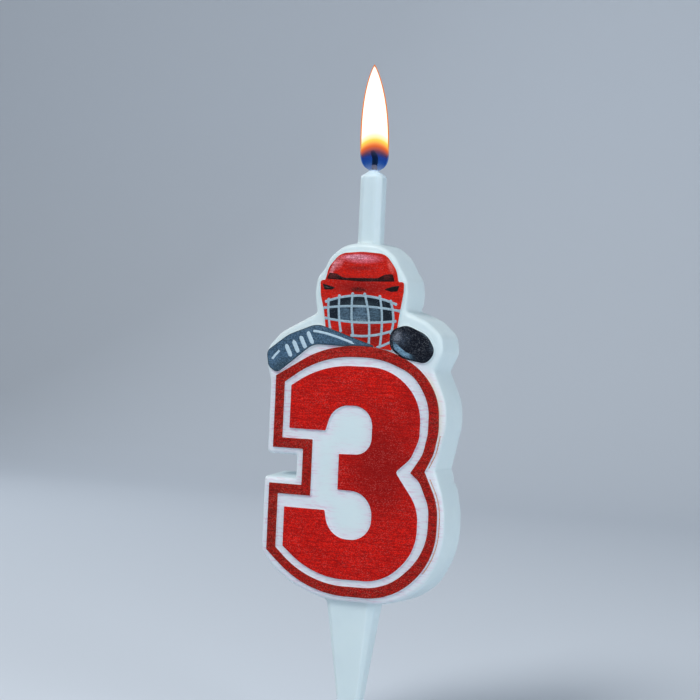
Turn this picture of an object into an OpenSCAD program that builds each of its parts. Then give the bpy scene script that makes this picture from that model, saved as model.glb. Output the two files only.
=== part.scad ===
// Number "3" birthday candle with a hockey motif: a wax casting, its wick and its printed inks.
// X runs to the candle's left as it faces -Y, Z is up, and the origin is where the peg leaves the slab.

/* [Slab] */
// height of the slab's outline from the peg to its crown's corner; all the artwork follows it
slab_h = 75.5; // [60:0.1:105]
// thickness of the slab from its front face to its flat back
slab_t = 9.7; // [7:0.1:14]
// how far the back outline stands outside the front one, for the mould's draft
draft = 0.5; // [0:0.1:1.2]
// radius of the soft edge round the front face
edge_round = 1.0; // [0.4:0.1:1.5]

/* [Relief and ink] */
// height of the raised areas that carry the print
relief = 0.4; // [0.2:0.05:0.8]
// width of the dark band round the numeral
band_w = 2.15; // [1.5:0.05:3]
// thickness of the ink
ink_t = 0.1; // [0.05:0.01:0.2]
// diameter of the face cage's wires as drawn
wire_w = 0.62; // [0.4:0.02:0.74]
// width of the stripes drawn on the stick
mark_w = 0.62; // [0.4:0.02:0.9]
// width of the tape stripes round the stick
tape_w = 1.04; // [0.5:0.02:1.3]

/* [Neck and wick] */
// width of the neck
neck_w = 5.1; // [4:0.1:8]
// depth of the neck
neck_d = 4.8; // [3.6:0.1:7]
// length of the neck from the slab's crown to its shoulders
neck_len = 14.1; // [8:0.1:25]
// height of the melted cone on the neck
cone_h = 1.45; // [0.8:0.05:3]
// diameter of the wick, and of its channel in the wax
wick_d = 1.2; // [0.8:0.1:2]
// length of wick inside the wax
wick_in = 38; // [20:1:60]
// length of pale wick above the wax
wick_bare = 1.0; // [0.4:0.1:3]
// length of burnt wick up to its bend
char_len = 2.1; // [1:0.1:5]
// length of the bent tip
char_tip = 1.1; // [0.5:0.1:3]
// lean of the bent tip away from upright
char_lean = 38; // [0:1:60]

/* [Flame] */
// height of the flame above the wax
flame_h = 22.6; // [12:0.2:40]
// width of the flame where it is widest
flame_w = 6.1; // [4.6:0.1:12]
// air between the flame and the burnt wick
flame_gap = 0.15; // [0.05:0.05:0.4]

/* [Peg] */
// length of the peg below the slab
peg_len = 30; // [20:1:50]
// width of the peg where it leaves the slab
peg_w = 11; // [8:0.1:16]
// depth of the peg where it leaves the slab
peg_d = 7.1; // [5:0.1:9]
// width and depth of the peg's tip
peg_tip = 2.6; // [1.5:0.1:5]
// chamfer on the peg's four edges where it leaves the slab
peg_chamfer = 1.2; // [0.5:0.1:2]

/* [Hidden] */
wax = [0.86, 0.90, 0.93];
cotton = [0.80, 0.66, 0.52];
burnt = [0.06, 0.05, 0.06];
glow = [1.00, 0.86, 0.45];
dark_red = [0.60, 0.06, 0.05];
bright_red = [0.78, 0.06, 0.03];
shadow_red = [0.32, 0.04, 0.07];
black = [0.05, 0.06, 0.08];
wire_blue = [0.60, 0.72, 0.80];
slate = [0.27, 0.34, 0.39];
pale = [0.80, 0.87, 0.90];
rim_blue = [0.35, 0.48, 0.60];

front_y = slab_t / 2;           // the plain front face lies at -front_y
print_y = front_y + relief;     // the tops of the raised areas lie at -print_y
relief_root = 0.5;              // how far a raised area reaches back into the slab
round_steps = 5;                // straight pieces in a corner's arc
tight_round = 0.5;              // corners tighter than this get two pieces
least_round = 0.12;             // smallest radius that a shrinking corner keeps
fillet_steps = 3;               // rings on the soft front edge
neck_chamfer = neck_d / 4;
neck_sunk = 4.5;                // how far the neck reaches down into the slab
neck_root = slab_h - neck_sunk;
neck_top = slab_h + neck_len;
apex = neck_top + cone_h;       // the wick leaves the wax here
char_reach = wick_d * 0.35 + char_tip * sin(char_lean);     // the burnt tip's reach from the axis
char_top = apex + wick_bare + char_len + char_tip * cos(char_lean) + wick_d * 0.35;
flame_belly = 0.2;              // share of the flame's height at which it is widest
flame_foot = 0.01;              // share of its height that its flat foot cuts off
flame_steps = 12;               // rings on each side of its belly
cone_base = cone_h * 1.8;       // the cone starts this far below the apex, clipped by the neck
peg_root = 3;                   // how far the peg reaches up into the slab
drawn_band = 2.15;              // the band's width that the groove is drawn for
wire_steps = 4;                 // straight pieces in a drawn wire

// Corner lists run anticlockwise as seen from the front: [across, up, corner radius].
slab_corners = [
    [10.4, 0.2, 16], [16.75, 4.8, 10], [20.65, 12.1, 18], [20.65, 19.7, 9], [19.85, 24, 9],
    [18.15, 28.8, 1], [20.1, 38.1, 12], [19.9, 42.6, 10], [16.95, 49.2, 0.9], [18.7, 53, 2.6],
    [18.35, 56.4, 3.5], [15, 59.3, 6], [10.2, 61.2, 0.8], [10.55, 64.9, 8], [10.15, 67.7, 3],
    [8.85, 69.7, 2.5], [7.4, 72.3, 5], [4.6, 74.6, 6], [0.2, 75.5, 14], [-4.4, 74.6, 6],
    [-7.3, 72.2, 5], [-8.55, 69.6, 2.5], [-10.05, 67.8, 3], [-10.5, 64.6, 8], [-9.8, 60.3, 0.8],
    [-17.9, 55.9, 7], [-20.85, 52.6, 3.5], [-21.05, 49.9, 2.5], [-19.85, 45.5, 8], [-19.85, 30.05, 0.9],
    [-13, 30.05, 0.4], [-13, 25.25, 0.3], [-20.3, 25.25, 0.9], [-20.3, 9.4, 5], [-17.8, 6.2, 10],
    [-13.5, 3.1, 16], [-5.4, 0, 20]];
band_corners = [
    [-9.1, 1.3, 23], [10.2, 1.45, 15.3], [19.25, 10.75, 15.3], [19.25, 22, 13], [16.1, 28.5, 0.15],
    [17.9, 32.3, 8], [18.8, 37, 12], [18.45, 44.2, 12], [13.9, 49.9, 14], [6.1, 53.65, 20],
    [-6.7, 53.65, 24], [-18.25, 46.7, 0.15], [-18.25, 31.45, 0.15], [-11.25, 31.45, 0.15],
    [-11.25, 23.85, 0.15], [-18.75, 23.85, 0.15], [-18.75, 9.6, 0.3]];
// The sunken area inside the band, drawn for a band as wide as drawn_band.
groove_corners = [
    [-8.6, 3.2, 21], [8.9, 3.7, 13], [17.3, 12, 13], [17.3, 21.3, 8], [15, 26.4, 4],
    [12.95, 28.05, 0.15], [15.5, 32, 6], [16.4, 36.2, 8], [16.45, 42.2, 10], [13, 48.2, 9],
    [5.2, 51.3, 18], [-7.7, 51.3, 23], [-16.1, 45.45, 0.15], [-16.1, 33.6, 0.15], [-9.1, 33.6, 0.15],
    [-9.1, 21.7, 0.15], [-16.6, 21.7, 0.15], [-16.6, 10.3, 0.3]];
fill_corners = [
    [-15, 10.7, 0.2], [-7.5, 4.65, 19], [8.1, 5.05, 11], [15, 12, 11], [15, 20.9, 9], [9.75, 28, 0.6],
    [12.9, 30.9, 4], [14.65, 35.1, 6], [14.7, 42.65, 10.5], [8, 49.4, 12], [-7.3, 49.45, 22],
    [-14.6, 44.8, 0.3], [-14.6, 35.7, 0.15], [-6.3, 35.65, 0.15], [-4.7, 41.15, 4.6],
    [4.15, 41.15, 4.2], [4.15, 31.1, 3.6], [-3, 30.95, 0.15], [-3, 23.45, 0.15], [4.85, 23.4, 4.9],
    [4.85, 13.25, 4.5], [-4.6, 13.25, 5], [-5.7, 19, 0.15], [-15, 19, 0.15]];
helmet_corners = [
    [-6.6, 54.5, 0.2], [2, 53.8, 3], [7.6, 53, 0.2], [8.75, 57.9, 1], [9.05, 60.3, 6], [9.8, 65.2, 5],
    [9.8, 67.3, 0.6],
    [8.55, 67.2, 0.3], [8, 69.7, 5], [5.5, 72.95, 3.2], [0.3, 73.35, 14], [-4.7, 72.95, 3.6],
    [-7.2, 70, 4], [-7.85, 67.3, 0.3], [-9, 67.2, 0.6], [-8.75, 64, 4], [-7.9, 61, 5], [-7.3, 57, 1]];
brow_corners = [
    [-7.6, 67.45, 0.2], [0, 67.05, 20], [7.8, 67.2, 0.2], [7.3, 68.9, 0.6], [5.4, 68.75, 1.5],
    [3.9, 67.95, 2], [-3.7, 67.9, 2], [-5.3, 68.7, 1.5], [-7, 68.9, 0.6]];
left_vent_corners = [
    [-8.6, 66.6, 0.15], [-7.95, 65.15, 0.4], [-6.2, 65.2, 0.4], [-5.25, 65.75, 0.15], [-7.2, 66.25, 1]];
right_vent_corners = [
    [5.2, 65.6, 0.15], [7, 65.05, 0.5], [8.5, 65.2, 0.3], [8.9, 66.5, 0.15], [7.3, 66.35, 1]];
window_corners = [
    [-6.65, 59, 0.3], [0.5, 58.45, 20], [7.8, 59, 0.3], [7.65, 61.2, 3], [7.15, 62.9, 0.3],
    [4.8, 63.7, 4], [0.3, 64.35, 12], [-4.6, 63.7, 4], [-6.9, 62.95, 0.3]];
stick_corners = [
    [-18.1, 47.15, 1.5], [-10, 53.65, 4], [5.4, 53.3, 0.3], [-9.2, 58.05, 5], [-15.8, 55.5, 10],
    [-20.7, 51.8, 1.6], [-20.2, 48.6, 1.8]];
puck_corners = [
    [10, 51.5, 4], [15.4, 50.5, 2.2], [17.3, 53.15, 2.3], [15.4, 56.5, 4.5], [10.7, 58.45, 3.2],
    [7, 57.2, 2.4], [7.3, 53.5, 2.5]];
puck_rim_corners = [
    [10.1, 51.9, 2], [13.3, 51.05, 0.3], [12.9, 52.3, 0.3], [10.8, 52.9, 4], [7.7, 55.4, 0.2],
    [8.1, 53.4, 1]];

// Each drawn wire bends from its first point towards its second and ends at its third.
cage_wires = [
    [[-7.4, 62.75], [0.3, 65.65], [8.2, 62.6]], [[-7.7, 61.4], [0.4, 62.6], [9, 61.25]],
    [[-7.4, 59.25], [0.4, 58], [8.2, 59.1]], [[-1.3, 55.85], [3, 55.4], [7.7, 57.1]],
    [[4.6, 53.55], [6, 54.05], [7.4, 54.75]], [[-6.85, 63.2], [-7, 60.5], [-6.3, 57.3]],
    [[-4.5, 64], [-4.6, 60], [-3.85, 56.7]], [[-1.5, 64.5], [-1.85, 60.5], [-1, 55.8]],
    [[1.2, 64.5], [2.75, 60], [2.6, 54.4]], [[4.6, 64.1], [5.7, 60], [5.1, 53.8]],
    [[7.05, 63.2], [8.35, 59.5], [7.4, 56.6]]];
blade_line = [[-10.4, 56.45], [-7.2, 56.45], [-0.45, 54.05]];
toe_mark = [[-19.35, 50], [-18.6, 51.1], [-17.55, 52.1]];
tape_first = [-15.55, 52.05];   // middle of the first tape stripe
tape_step = [1.62, 0.98];       // from one stripe to the next, along the blade
tape_half = [-0.75, 1.45];      // from a stripe's middle to its upper end
tape_count = 4;

// scale from the lists above to this slab
drawn = slab_h / max([for (c = slab_corners) c[1]]);

// ---- plane geometry -------------------------------------------------------------------------
function unit(v) = v / norm(v);
function right_of(d) = [d[1], -d[0]];
function spun(v, a) = [v[0] * cos(a) - v[1] * sin(a), v[0] * sin(a) + v[1] * cos(a)];
function turn_between(a, b) = atan2(a[0] * b[1] - a[1] * b[0], a * b);

// The arc that rounds one corner of an outline grown outwards by `grow`. A tight corner stays tight.
function corner_arc(before, here, after, radius, grow) =
    let (d1 = unit(here - before), d2 = unit(after - here),
         n1 = right_of(d1), n2 = right_of(d2),
         turn = turn_between(d1, d2),
         side = turn < 0 ? -1 : 1,
         r = max(radius < tight_round ? radius : radius + side * grow, least_round),
         tip = here + grow * (n1 + n2) / (1 + n1 * n2),
         hub = tip - d1 * r * tan(abs(turn) / 2) - side * r * n1,
         steps = radius < tight_round ? 2 : round_steps)
    [for (k = [0 : steps]) hub + side * r * spun(n1, turn * k / steps)];

function flat(c) = [c[0], c[1]] * drawn;

// A closed outline from corners [across, up, radius], all grown outwards by `grow`.
function outline(corners, grow = 0) =
    let (n = len(corners))
    [for (i = [0 : n - 1])
        each corner_arc(flat(corners[(i + n - 1) % n]), flat(corners[i]), flat(corners[(i + 1) % n]),
                        corners[i][2] * drawn, grow)];

function bend(p, t) = ((1 - t) * (1 - t) * p[0] + 2 * t * (1 - t) * p[1] + t * t * p[2]) * drawn;
function bend_way(p, t) = unit((1 - t) * (p[1] - p[0]) + t * (p[2] - p[1]));

// ---- shapes ---------------------------------------------------------------------------------
// A skin over rings of equal length, each anticlockwise as seen from the last one's side. The
// resize() changes no size: it has the whole skin meshed at once, hollow outlines included.
module loft(rings) {
    n = len(rings[0]);
    last = len(rings) - 1;
    sides = [for (j = [0 : last - 1]) for (i = [0 : n - 1])
        let (a = j * n + i, b = j * n + (i + 1) % n)
        each [[a, a + n, b + n], [a, b + n, b]]];
    resize([0, 0, 0])
        polyhedron(
            points = [for (ring = rings) each ring],
            faces = concat([[for (i = [0 : n - 1]) i]], sides, [[for (i = [n - 1 : -1 : 0]) last * n + i]]),
            convexity = 8);
}

// Stands a flat drawing up, from y = -from_y to y = -(from_y + thick).
module stand(from_y, thick) {
    translate([0, -from_y, 0])
        rotate([90, 0, 0])
            linear_extrude(height = thick, convexity = 8)
                children();
}

module area(corners, grow = 0) {
    polygon(outline(corners, grow));
}

module ribbon(path, width) {
    sides = [for (s = [-1, 1]) [for (k = [0 : wire_steps])
        let (t = k / wire_steps)
        bend(path, t) + s * width / 2 * right_of(bend_way(path, t))]];
    polygon(concat(sides[1], [for (k = [wire_steps : -1 : 0]) sides[0][k]]));
}

function octagon(w, d, c) =
    let (a = w / 2, b = d / 2)
    [[a, c - b], [a, b - c], [a - c, b], [c - a, b], [-a, b - c], [-a, c - b], [c - a, -b], [a - c, -b]];

function at_height(ring, z) = [for (p = ring) [p[0], p[1], z]];

// ---- the drawing ----------------------------------------------------------------------------
module numeral() {
    area(band_corners);
}

module band() {
    difference() {
        numeral();
        area(groove_corners, drawn_band - band_w);
        puck();
    }
}

module fill() {
    area(fill_corners);
}

module puck() {
    area(puck_corners);
}

module puck_rim() {
    area(puck_rim_corners);
}

module stick() {
    difference() {
        area(stick_corners);
        numeral();
    }
}

module stick_marks() {
    ribbon(blade_line, mark_w);
    ribbon(toe_mark, mark_w);
    for (k = [0 : tape_count - 1]) {
        middle = tape_first + k * tape_step;
        ribbon([middle - tape_half, middle, middle + tape_half], tape_w);
    }
}

module helmet() {
    difference() {
        area(helmet_corners);
        numeral();
        area(stick_corners);
        puck();
    }
}

module cage() {
    intersection() {
        helmet();
        for (path = cage_wires) {
            ribbon(path, wire_w);
        }
    }
}

module windows() {
    difference() {
        area(window_corners);
        cage();
    }
}

module vents() {
    area(left_vent_corners);
    area(right_vent_corners);
}

module motif() {
    difference() {
        union() {
            area(helmet_corners);
            area(stick_corners);
        }
        numeral();
    }
    puck();
}

// ---- sub-parts ------------------------------------------------------------------------------
module slab() {
    wall = [[draft, front_y], [0, edge_round - front_y]];
    soft = [for (k = [1 : fillet_steps])
        let (a = 90 * k / fillet_steps)
        [-edge_round * (1 - cos(a)), edge_round * (1 - sin(a)) - front_y]];
    loft([for (ring = concat(wall, soft)) [for (p = outline(slab_corners, ring[0])) [p[0], ring[1], p[1]]]]);
}

module raised_areas() {
    stand(front_y - relief_root, relief + relief_root) {
        band();
        fill();
        motif();
    }
}

module neck() {
    intersection() {
        translate([0, 0, neck_root])
            linear_extrude(height = apex - neck_root)
                polygon(octagon(neck_w, neck_d, neck_chamfer));
        union() {
            translate([0, 0, neck_root])
                cylinder(h = apex - cone_base - neck_root, d = neck_w * 1.5, $fn = 64);
            translate([0, 0, apex - cone_base])
                cylinder(h = cone_base, d1 = neck_w * 1.5, d2 = wick_d * 1.3, $fn = 64);
        }
    }
}

module peg() {
    slope = [(peg_w - peg_tip) / peg_len, (peg_d - peg_tip) / peg_len];
    tip_chamfer = peg_chamfer * peg_tip / peg_d;
    loft([
        at_height(octagon(peg_tip, peg_tip, tip_chamfer), -peg_len),
        at_height(octagon(peg_w, peg_d, peg_chamfer), 0),
        at_height(octagon(peg_w + slope[0] * peg_root, peg_d + slope[1] * peg_root, peg_chamfer), peg_root)]);
}

module wax_body() {
    color(wax)
        difference() {
            union() {
                slab();
                raised_areas();
                neck();
                peg();
            }
            translate([0, 0, apex - wick_in])
                cylinder(h = wick_in + 1, d = wick_d, $fn = 32);
        }
}

module wick() {
    color(cotton)
        translate([0, 0, apex - wick_in])
            cylinder(h = wick_in + wick_bare, d = wick_d, $fn = 32);
}

module wick_char() {
    color(burnt)
        translate([0, 0, apex + wick_bare]) {
            cylinder(h = char_len, d = wick_d, $fn = 32);
            translate([0, 0, char_len]) {
                sphere(d = wick_d, $fn = 32);
                rotate([0, -char_lean, 0])
                    cylinder(h = char_tip, d1 = wick_d, d2 = wick_d * 0.7, $fn = 32);
            }
        }
}

// The flame's width at a share of its height, as a share of its greatest width.
function flame_share(t) = t < flame_belly
    ? pow(1 - pow(1 - t / flame_belly, 3), 0.45)
    : pow(1 - pow((t - flame_belly) / (1 - flame_belly), 1.9), 0.6);

// The glowing gas round the burnt wick, as a solid of its size and place.
module flame() {
    lower = [for (k = [0 : flame_steps - 1]) flame_foot + (flame_belly - flame_foot) * k / flame_steps];
    upper = [for (k = [0 : flame_steps]) flame_belly + (1 - flame_belly) * sin(90 * k / flame_steps)];
    edge = [for (t = concat(lower, upper)) [flame_w / 2 * flame_share(t), flame_h * (t - flame_foot)]];
    space_r = max(char_reach, wick_d / 2) + flame_gap;
    color(glow)
        difference() {
            translate([0, 0, apex])
                rotate_extrude($fn = 48)
                    polygon(concat([[0, 0]], edge));
            translate([0, 0, apex - 1])
                cylinder(h = 1 + wick_bare, d = wick_d, $fn = 32);
            translate([0, 0, apex + wick_bare / 2])
                cylinder(h = char_top + flame_gap - apex - wick_bare / 2, r = space_r, $fn = 32);
        }
}

module numeral_band_ink() {
    color(dark_red)
        stand(print_y, ink_t)
            band();
}

module numeral_fill_ink() {
    color(bright_red)
        stand(print_y, ink_t)
            fill();
}

module helmet_shell_ink() {
    color(bright_red)
        stand(print_y, ink_t)
            difference() {
                helmet();
                area(brow_corners);
                vents();
                area(window_corners);
                cage();
            }
}

module helmet_brow_ink() {
    color(shadow_red)
        stand(print_y, ink_t)
            area(brow_corners);
}

module helmet_vent_ink() {
    color(black)
        stand(print_y, ink_t)
            vents();
}

module cage_window_ink() {
    color(slate)
        stand(print_y, ink_t)
            windows();
}

module cage_wire_ink() {
    color(wire_blue)
        stand(print_y, ink_t)
            cage();
}

module stick_blade_ink() {
    color(slate)
        stand(print_y, ink_t)
            difference() {
                stick();
                stick_marks();
            }
}

module stick_tape_ink() {
    color(pale)
        stand(print_y, ink_t)
            intersection() {
                stick();
                stick_marks();
            }
}

module puck_face_ink() {
    color(black)
        stand(print_y, ink_t)
            difference() {
                puck();
                puck_rim();
            }
}

module puck_rim_ink() {
    color(rim_blue)
        stand(print_y, ink_t)
            intersection() {
                puck();
                puck_rim();
            }
}

wax_body();
wick();
wick_char();
flame();
numeral_band_ink();
numeral_fill_ink();
helmet_shell_ink();
helmet_brow_ink();
helmet_vent_ink();
cage_window_ink();
cage_wire_ink();
stick_blade_ink();
stick_tape_ink();
puck_face_ink();
puck_rim_ink();
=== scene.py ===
"""Dressed model of a moulded number candle: poured wax, printed inks, a plaited wick and its flame.

Shapes are worked out in millimetres and turned to metres as each mesh is made. X runs across the
numeral, Z is up and -Y faces the viewer; the origin is where the peg leaves the slab.
"""

import logging
import math
from dataclasses import dataclass
from enum import Enum
from functools import lru_cache, reduce
from typing import Callable, Sequence

import bpy
import numpy as np
from mathutils import Matrix, Vector
from mathutils.geometry import delaunay_2d_cdt


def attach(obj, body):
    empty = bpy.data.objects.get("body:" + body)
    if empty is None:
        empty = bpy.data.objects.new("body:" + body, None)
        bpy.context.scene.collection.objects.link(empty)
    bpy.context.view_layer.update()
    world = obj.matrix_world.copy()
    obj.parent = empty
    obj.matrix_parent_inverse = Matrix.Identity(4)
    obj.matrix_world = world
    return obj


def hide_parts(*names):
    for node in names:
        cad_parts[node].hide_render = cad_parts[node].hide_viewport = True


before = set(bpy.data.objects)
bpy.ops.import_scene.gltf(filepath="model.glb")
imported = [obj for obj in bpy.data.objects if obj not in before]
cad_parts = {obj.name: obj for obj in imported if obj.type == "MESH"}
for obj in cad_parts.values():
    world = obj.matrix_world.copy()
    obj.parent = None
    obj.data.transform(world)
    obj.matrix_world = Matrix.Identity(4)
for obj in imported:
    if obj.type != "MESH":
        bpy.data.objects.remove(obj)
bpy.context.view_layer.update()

MM = 0.001
EXACT_REACH = 3.0  # how far round a ring's box distances are exact, in millimetres
NO_LENGTH = 1e-12  # a squared length that counts as none
SAME_PLACE = 1e-4  # points closer than this are one, in millimetres
ROW_SHARE = 0.87  # the spacing of a lattice's rows, as a share of its pitch
DISC_POINTS = 16
LOG = logging.getLogger("candle")

Array = np.ndarray
Corner = tuple[float, float, float]
Colour = tuple[float, float, float]
Socket = bpy.types.NodeSocket
Mesh = bpy.types.Mesh
Material = bpy.types.Material
Pair = tuple[float, float]


class Slot(Enum):
    """The record's material slots."""

    WAX = "wax"
    COTTON = "wick_cotton"
    BURNT = "wick_burnt"
    GLOW = "flame_glow"
    DARK_RED = "ink_dark_red"
    BRIGHT_RED = "ink_bright_red"
    SHADOW_RED = "ink_shadow_red"
    BLACK = "ink_black"
    SLATE = "ink_slate"
    WIRE_BLUE = "ink_wire_blue"
    PALE = "ink_pale"
    RIM_BLUE = "ink_rim_blue"


# ---- plane geometry ----


def smooth(share: Array) -> Array:
    """Returns a soft step: 0 below 0, 1 above 1."""
    held = np.clip(share, 0.0, 1.0)
    return held * held * (3.0 - 2.0 * held)


def wheel(count: int) -> Array:
    """Returns points evenly round a circle of radius 1."""
    angles = np.linspace(0, 2 * math.pi, count + 1)[:-1]
    return np.stack([np.cos(angles), np.sin(angles)], axis=1)


def normals(ways: Array) -> Array:
    """Returns the unit directions to the right of directions in the plane."""
    return np.stack([ways[:, 1], -ways[:, 0]], axis=1) / np.hypot(ways[:, 0], ways[:, 1])[:, None]


def standing(spots: Array, back: Array | float) -> Array:
    """Returns points (across, up) in space, each so far behind the middle."""
    return np.stack([spots[:, 0], np.broadcast_to(back, len(spots)), spots[:, 1]], axis=1)


def lying(flat: Array, height: float) -> Array:
    """Returns points (across, back) in space, all at one height."""
    return np.stack([*flat.T, np.full(len(flat), height)], axis=1)


def inside_depth(points: Array, ring: Array) -> Array:
    """Returns how deep each point lies inside a closed ring.

    Args:
        points: The points, one a row.
        ring: The ring's corners, one a row.

    Returns:
        The distance to the ring, below zero outside it; far outside, the distance to its box.
    """
    off = np.maximum(np.maximum(ring.min(axis=0) - points, points - ring.max(axis=0)), 0.0)
    depth = -np.hypot(off[:, 0], off[:, 1])
    close = depth > -EXACT_REACH
    depth[close] = _exact_depth(points[close], ring)
    return depth


def _exact_depth(points: Array, ring: Array) -> Array:
    """Returns the exact distance to a closed ring, below zero outside it."""
    nearest = np.full(len(points), np.inf)
    inside = np.zeros(len(points), bool)
    for start, stop in zip(ring, np.roll(ring, -1, axis=0)):
        run = stop - start
        length = float(run @ run)
        if length < NO_LENGTH:
            continue
        along = np.clip((points - start) @ run / length, 0.0, 1.0)
        gap = points - start - along[:, None] * run
        nearest = np.minimum(nearest, np.einsum("ij,ij->i", gap, gap))
        if run[1]:
            crossed = (start[1] > points[:, 1]) != (stop[1] > points[:, 1])
            inside ^= crossed & (points[:, 0] < start[0] + (points[:, 1] - start[1]) * run[0] / run[1])
    return np.where(inside, 1.0, -1.0) * np.sqrt(nearest)


@dataclass(frozen=True)
class Outline:
    """A closed outline of rounded corners (across, up, radius), anticlockwise from the front.

    As it grows, a corner rounder than `tight_round` keeps its centre and a tighter one its radius.
    """

    corners: tuple[Corner, ...]
    step: float = 0.5
    least_round: float = 0.12
    tight_round: float = 0.5
    fine_round: float = 0.4

    @lru_cache(maxsize=None)
    def _arcs(self, grow: float) -> list[Array]:
        """Returns the points of each corner's arc.

        Args:
            grow: How far the outline is moved outwards.

        Returns:
            One array of points for each corner.
        """
        tips = np.array([corner[:2] for corner in self.corners], float)
        arcs = []
        for i, tip in enumerate(tips):
            drawn = self.corners[i][2]
            before, after = tip - tips[i - 1], tips[(i + 1) % len(tips)] - tip
            before, after = before / np.hypot(*before), after / np.hypot(*after)
            out_1, out_2 = (np.array([way[1], -way[0]]) for way in (before, after))
            turn = math.atan2(before[0] * after[1] - before[1] * after[0], float(before @ after))
            side = -1.0 if turn < 0 else 1.0
            radius = max(drawn if drawn < self.tight_round else drawn + side * grow, self.least_round)
            moved = tip + grow * (out_1 + out_2) / (1.0 + out_1 @ out_2)
            hub = moved - before * radius * math.tan(abs(turn) / 2) - side * radius * out_1
            count = max(2, math.ceil(abs(turn) * max(drawn, self.fine_round) / self.step))
            angles = turn * np.arange(count + 1) / count
            spun = np.stack([out_1[0] * np.cos(angles) - out_1[1] * np.sin(angles),
                             out_1[0] * np.sin(angles) + out_1[1] * np.cos(angles)], axis=1)
            arcs.append(hub + side * radius * spun)
        return arcs

    @lru_cache(maxsize=None)
    def ring(self, grow: float = 0.0) -> Array:
        """Returns the outline's points.

        Args:
            grow: How far the outline is moved outwards.

        Returns:
            The points, one a row; their number is the same for every `grow`.
        """
        drawn, moved = self._arcs(0.0), self._arcs(grow)
        points = []
        for i, arc in enumerate(moved):
            following = (i + 1) % len(moved)
            count = max(1, math.ceil(np.hypot(*(drawn[following][0] - drawn[i][-1])) / self.step))
            cuts = np.arange(1, count) / count
            points += [arc, arc[-1] + cuts[:, None] * (moved[following][0] - arc[-1])]
        return np.concatenate(points)

    def area(self, grow: float = 0.0) -> "Area":
        """Returns the area inside the outline once it is moved outwards by `grow`."""
        return Area(lambda points: inside_depth(points, np.concatenate(self._arcs(grow))),
                    lambda more: [self.ring(round(grow + more, 6))])


@dataclass(frozen=True)
class Area:
    """A flat area: how deep points lie inside it, and the closed lines that its edge follows."""

    depth: Callable[[Array], Array]
    lines: Callable[[float], list[Array]]

    def _with(self, other: "Area", pick: Callable[[Array, Array], Array], side: int = 1) -> "Area":
        """Returns an area made of this one and the other, which a `side` of -1 turns inside out."""
        return Area(lambda points: pick(self.depth(points), side * other.depth(points)),
                    lambda grow: self.lines(grow) + other.lines(side * grow))

    def __or__(self, other: "Area") -> "Area":
        """Returns this area and the other together."""
        return self._with(other, np.maximum)

    def __and__(self, other: "Area") -> "Area":
        """Returns what this area and the other share."""
        return self._with(other, np.minimum)

    def __sub__(self, other: "Area") -> "Area":
        """Returns this area without the other."""
        return self._with(other, np.minimum, -1)


def bent(path: Sequence[Sequence[float]], count: int) -> Array:
    """Returns points from the path's first point to its third, bending towards its second."""
    share = np.linspace(0.0, 1.0, count + 1)[:, None]
    first, middle, last = (np.array(point, float) for point in path)
    return (1 - share) ** 2 * first + 2 * share * (1 - share) * middle + share ** 2 * last


def ribbon(path: Sequence[Sequence[float]], width: float, count: int = 14) -> Area:
    """Returns the area of a drawn line.

    Args:
        path: Its start, the point it bends towards, and its end.
        width: Its width.
        count: The number of straight pieces it is made of.

    Returns:
        The area, with square ends.
    """
    middle = bent(path, count)
    side = normals(np.gradient(middle, axis=0))

    def edge(grow: float) -> Array:
        """Returns the line's edge, moved outwards by `grow`."""
        half = width / 2 + grow
        return np.concatenate([middle + half * side, (middle - half * side)[::-1]])

    return Area(lambda points: inside_depth(points, edge(0.0)), lambda grow: [edge(grow)])


def disc(middle: Sequence[float], radius: float) -> Area:
    """Returns a round area."""
    return Area(lambda points: radius - np.hypot(*(points - middle).T),
                lambda grow: [middle + (radius + grow) * wheel(DISC_POINTS)])


# ---- the artwork ----


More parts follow.
